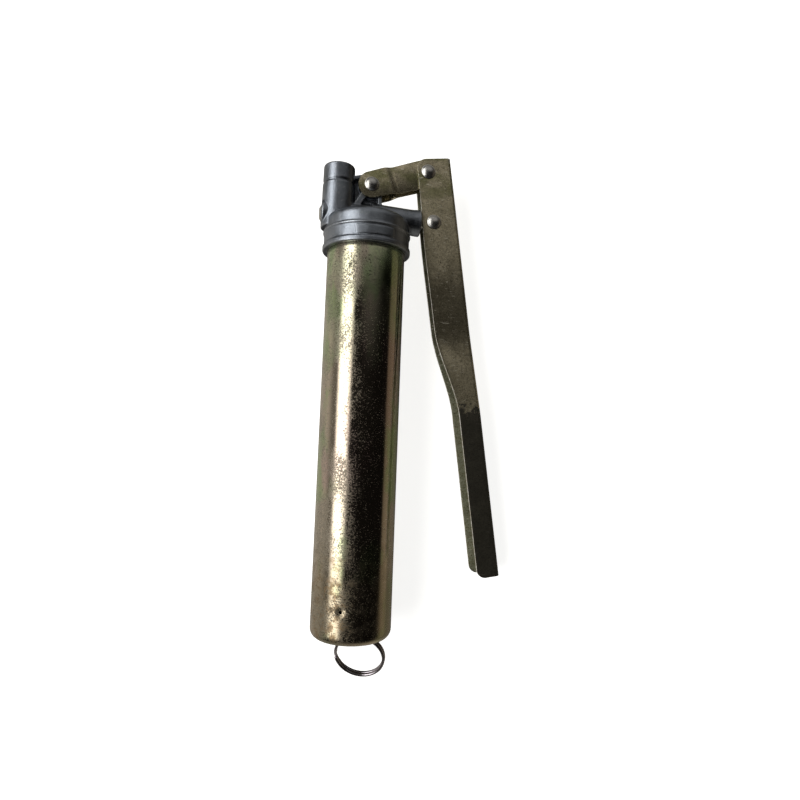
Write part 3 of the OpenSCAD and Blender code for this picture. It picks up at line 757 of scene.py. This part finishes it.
# ---------------------------------------------------------------- link
def make_link():
    """Two stepped plates and the folded web that joins them along the top."""
    run = FULCRUM - ANCHOR
    length = Vector((run.x, run.y)).length
    angle = math.atan2(run.y, run.x)
    yoke_r, tail_r, wide, narrow = 9.8, 10.6, 7.8, 4.3  # end radii, then half widths over the plates
    step, step_long, cuts = 12.0, 8.4, 8               # where the plates step inwards
    outline = arc(0, 0, yoke_r, 90, 270, 24) + [(length - 8, -tail_r)]
    outline += arc(length, 0, tail_r, -90, 90, 24) + [(length - 8, tail_r)]
    link = None
    for side in (1, -1):
        bm = bmesh.new()
        add_plate(bm, outline, wide - SHEET, wide)
        for k in range(cuts + 1):
            bmesh.ops.bisect_plane(bm, geom=bm.verts[:] + bm.edges[:] + bm.faces[:],
                                   plane_co=(step + k * step_long / cuts, 0, 0), plane_no=(1, 0, 0))
        for v in bm.verts:
            v.co.z = side * (v.co.z - (wide - narrow) * ease((v.co.x - step) / step_long))
        plate = to_object(bm, "link_plates")
        if link is None:
            link = plate
        else:
            boolean(link, plate, "UNION")
    fold = bmesh.new()
    half, top, bend = narrow, tail_r, 2.4
    low, inner = top - 5, bend - SHEET
    profile = rounded([(-half, low), (-half, top, bend), (half, top, bend), (half, low),
                       (half - SHEET, low), (half - SHEET, top - SHEET, inner),
                       (SHEET - half, top - SHEET, inner), (SHEET - half, low)], 6)
    path = [(Vector((x, 0, 0)), Vector((0, 0, 1)), Vector((0, 1, 0))) for x in (20, length - 9)]
    sweep(fold, path, profile)
    boolean(link, to_object(fold, "fold"), "UNION")
    anchor = Matrix.Translation(Vector((ANCHOR.x, ANCHOR.y, 0)) * MM)
    link.data.transform(anchor @ Matrix.Rotation(angle, 4, "Z"))
    soft_edges(link, 0.22, 2, 50)
    finish_piece(link, "link", FINISH["plated_sheet"], "plated_sheet", "link")


# ---------------------------------------------------------------- rivets, ring and turned pieces
def make_rivet(name, node, at, width, body):
    """A shank and two domed heads, each with a rolled edge that stands a little off the plate."""
    head_r, crown, rise = 5.5, 2.4, 0.35
    dome_r = ((head_r - 0.3) ** 2 + crown ** 2) / (2 * crown)
    half = width / 2
    top = half + rise + crown
    shank_r, gap, steps = 3.0, 0.02, 14
    open_angle = math.asin((head_r - 0.5) / dome_r)
    side = [(dome_r * math.sin(open_angle * k / steps), top - dome_r * (1 - math.cos(open_angle * k / steps)))
            for k in range(steps + 1)]
    side += [(head_r - 0.08, half + rise + 0.12), (head_r - 0.1, half + rise - 0.1),
             (head_r - 0.6, half + gap), (shank_r, half + gap)]
    bm = bmesh.new()
    add_lathe(bm, side + [(r, -h) for r, h in side[::-1]], 64, along("Z", (at.x, at.y, 0)))
    finish_piece(to_object(bm, name), body, FINISH["rivet_steel"], "rivet_steel", node)


def ring_frame():
    """The ring's own frame in the gun: X along the eye, -Y out to the ring's middle."""
    x = (TO_GUN.to_3x3() @ Vector(JOINT["ring_hinge"]["axis"])).normalized()
    low, high = box_in_gun("split_ring")
    y = (EYE - (low + high) / 2).normalized()
    z = x.cross(y).normalized()
    y = z.cross(x)
    m = Matrix((x, y, z)).transposed().to_4x4()
    m.translation = EYE
    return m


def make_split_ring():
    """Two touching turns of one spring wire, with the step between them and both cut ends."""
    wire, radius, steps, sides = 2.15, 17.4, 260, 14
    start, turns = 5.1, 1.97                           # where one end lies, in radians, and how far it goes
    cross = 0.14                                       # share of a turn in which the wire steps over
    m = ring_frame()

    def flattened(t):
        """A circle's coordinate, pressed a little towards a square."""
        return math.copysign(abs(t) ** 0.8, t) * wire / 2

    section = [(flattened(math.cos(a)), flattened(math.sin(a)))
               for a in [2 * math.pi * k / sides for k in range(sides)]]
    path = []
    for k in range(steps + 1):
        t = k / steps * turns
        a = start + 2 * math.pi * t
        layer = (ease((t - turns / 2 + cross / 2) / cross) * 2 - 1) * wire * 0.505
        out = Vector((math.sin(a), math.cos(a), 0))
        point = Vector((0, -radius, layer)) + out * radius
        path.append((m @ point, m.to_3x3() @ out, m.to_3x3() @ Vector((0, 0, 1))))
    bm = bmesh.new()
    sweep(bm, path, section)
    ring = to_object(bm, "split_ring_wire")
    soft_edges(ring, 0.15, 1, 60)
    finish_piece(ring, "ring", FINISH["ring_steel"], "ring_steel", "split_ring")


def make_spring(name, node, body, wire, turns):
    """A coil spring with one closed turn at each end."""
    low, high = box_in_gun(node)
    centre = (low + high) / 2
    radius = (high.x - low.x - wire) / 2
    length = high.y - low.y
    closed, per_turn, sides = wire * 1.04, 40, 12      # rise of a closed turn, and the mesh's steps
    pitch = (length - wire - 2 * closed) / (turns - 2)
    path = []
    for k in range(turns * per_turn + 1):
        t = k / per_turn
        rise = closed * min(t, 1) + pitch * min(max(t - 1, 0), turns - 2) + closed * max(t - turns + 1, 0)
        out = Vector((math.cos(2 * math.pi * t), 0, math.sin(2 * math.pi * t)))
        axis = Vector((centre.x, low.y + wire / 2 + rise, centre.z))
        path.append((axis + out * radius, out, Vector((0, 1, 0))))
    section = [(math.cos(a) * wire / 2, math.sin(a) * wire / 2)
               for a in [2 * math.pi * k / sides for k in range(sides)]]
    bm = bmesh.new()
    sweep(bm, path, section)
    spring = to_object(bm, name)
    finish_piece(spring, body, FINISH["dark_steel"], "dark_steel", node)
    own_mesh(spring)


# ---------------------------------------------------------------- assembly
# what each coil gives: its name, its CAD node, its body, wire and turns
make_spring("follower_spring_coil", "follower_spring", "barrel", 2.2, 13)
make_spring("check_spring_coil", "check_spring", "head", 0.6, 4)
make_barrel()
make_head()
make_lever()
make_link()
make_rivet("rivet_link", "link_rivet", ANCHOR, 15.6, "link")
make_rivet("rivet_fulcrum", "fulcrum_rivet", FULCRUM, 12.2, "lever")
make_rivet("rivet_plunger", "plunger_rivet", PIVOT, 12.2, "lever")
make_split_ring()

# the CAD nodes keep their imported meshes, and those with no piece of their own show
SLOT_OF = {s["node"]: s["material_slot"] for s in frame["record"]["subparts"]}
for name, node in frame["nodes"].items():
    node.data.materials.clear()
    node.data.materials.append(FINISH[SLOT_OF[name]])


# ---------------------------------------------------------------- stage
FLOOR_GLOW = 0.85


def make_floor():
    """A plain pale table top, lit evenly from below as a light table is."""
    f = Finish("pale_floor", 0.0, 0.6, (0.85, 0.85, 0.84))
    f.set("Base Color", f.blend(f.ramp(f.noise(60, 3), 0.3, 0.7), (0.84, 0.84, 0.83), (0.87, 0.87, 0.86)))
    f.set("Emission Color", (1.0, 1.0, 0.99, 1))
    f.set("Emission Strength", FLOOR_GLOW)
    bpy.ops.mesh.primitive_plane_add(size=8)
    floor = bpy.context.object
    floor.name = "floor"
    floor.data.materials.append(f.material)
    floor.visible_glossy = False


# The room's dimmest light, and its soft patches: direction, stretch along the gun, inner and outer
# reach in degrees, and colour.
ROOM_DIM = (0.006, 0.0055, 0.005)
ROOM_PATCHES = (
    ((-0.70, 0.16, 0.70), 0.34, 3, 24, (4.2, 4.15, 4.0)),     # window
    ((-0.97, 0.0, 0.10), 0.5, 6, 30, (0.20, 0.19, 0.17)),     # wall under it
    ((0.20, 0.85, 0.50), 1.0, 15, 52, (0.40, 0.39, 0.37)),    # room beyond the far end
    ((0.97, 0.10, -0.20), 0.35, 11, 18, (0.17, 0.14, 0.10)),  # wall at the right
    ((-0.80, 0.0, -0.60), 0.8, 10, 50, (0.52, 0.49, 0.44)),   # table, left
    ((0.70, -0.55, -0.60), 0.8, 8, 50, (0.20, 0.18, 0.14)),   # table, right
    ((0.0, -0.9, -0.35), 1.0, 10, 50, (0.34, 0.32, 0.28)),    # table, near
)


def make_world():
    """The room's light: a window along the left, a pale table, and a dark corner at the right."""
    world = bpy.data.worlds.new("room")
    bpy.context.scene.world = world
    world.use_nodes = True
    nodes, links = world.node_tree.nodes, world.node_tree.links

    def node(kind, inputs, **properties):
        made = nodes.new(kind)
        for key, value in properties.items():
            setattr(made, key, value)
        for key, value in inputs.items():
            if isinstance(value, bpy.types.NodeSocket):
                links.new(value, made.inputs[key])
            else:
                made.inputs[key].default_value = value
        return made

    place = nodes.new("ShaderNodeTexCoord").outputs["Generated"]

    def patch(toward, stretch, inner, outer):
        """1 towards a direction, falling to 0 at the outer reach."""
        squeeze = (1, stretch, 1)
        toward = Vector(a * b for a, b in zip(toward, squeeze)).normalized()
        seen = node("ShaderNodeVectorMath", {0: place, 1: squeeze}, operation="MULTIPLY").outputs[0]
        seen = node("ShaderNodeVectorMath", {0: seen}, operation="NORMALIZE").outputs[0]
        near = node("ShaderNodeVectorMath", {0: seen, 1: toward}, operation="DOT_PRODUCT").outputs["Value"]
        limits = {"Value": near, "From Min": math.cos(math.radians(outer)),
                  "From Max": math.cos(math.radians(inner))}
        return node("ShaderNodeMapRange", limits, interpolation_type="SMOOTHSTEP").outputs["Result"]

    total = node("ShaderNodeCombineXYZ", dict(zip("XYZ", ROOM_DIM))).outputs[0]
    for toward, stretch, inner, outer, color in ROOM_PATCHES:
        near = patch(toward, stretch, inner, outer)
        glow = node("ShaderNodeVectorMath", {0: color, "Scale": near}, operation="SCALE").outputs[0]
        total = node("ShaderNodeVectorMath", {0: total, 1: glow}, operation="ADD").outputs[0]
    links.new(total, nodes["Background"].inputs["Color"])


def make_camera():
    """Almost overhead, close, and turned a little."""
    aim = Vector((-0.00564, 0.00678, 0.030))
    distance, elevation, spin, lens = 0.4331, 84.32, 2.085, 26.72
    e = math.radians(elevation)
    data = bpy.data.cameras.new("camera")
    data.lens = lens
    data.sensor_width = 36
    data.clip_start = 0.01
    camera = bpy.data.objects.new("camera", data)
    back = Vector((0, -math.cos(e), math.sin(e)))
    camera.location = aim + back * distance
    look = (-back).to_track_quat("-Z", "Y").to_matrix()
    camera.rotation_euler = (look @ Matrix.Rotation(math.radians(spin), 3, "Z")).to_euler()
    bpy.context.scene.collection.objects.link(camera)
    bpy.context.scene.camera = camera


make_floor()
make_world()
make_camera()
bpy.context.scene.view_settings.view_transform = "Standard"
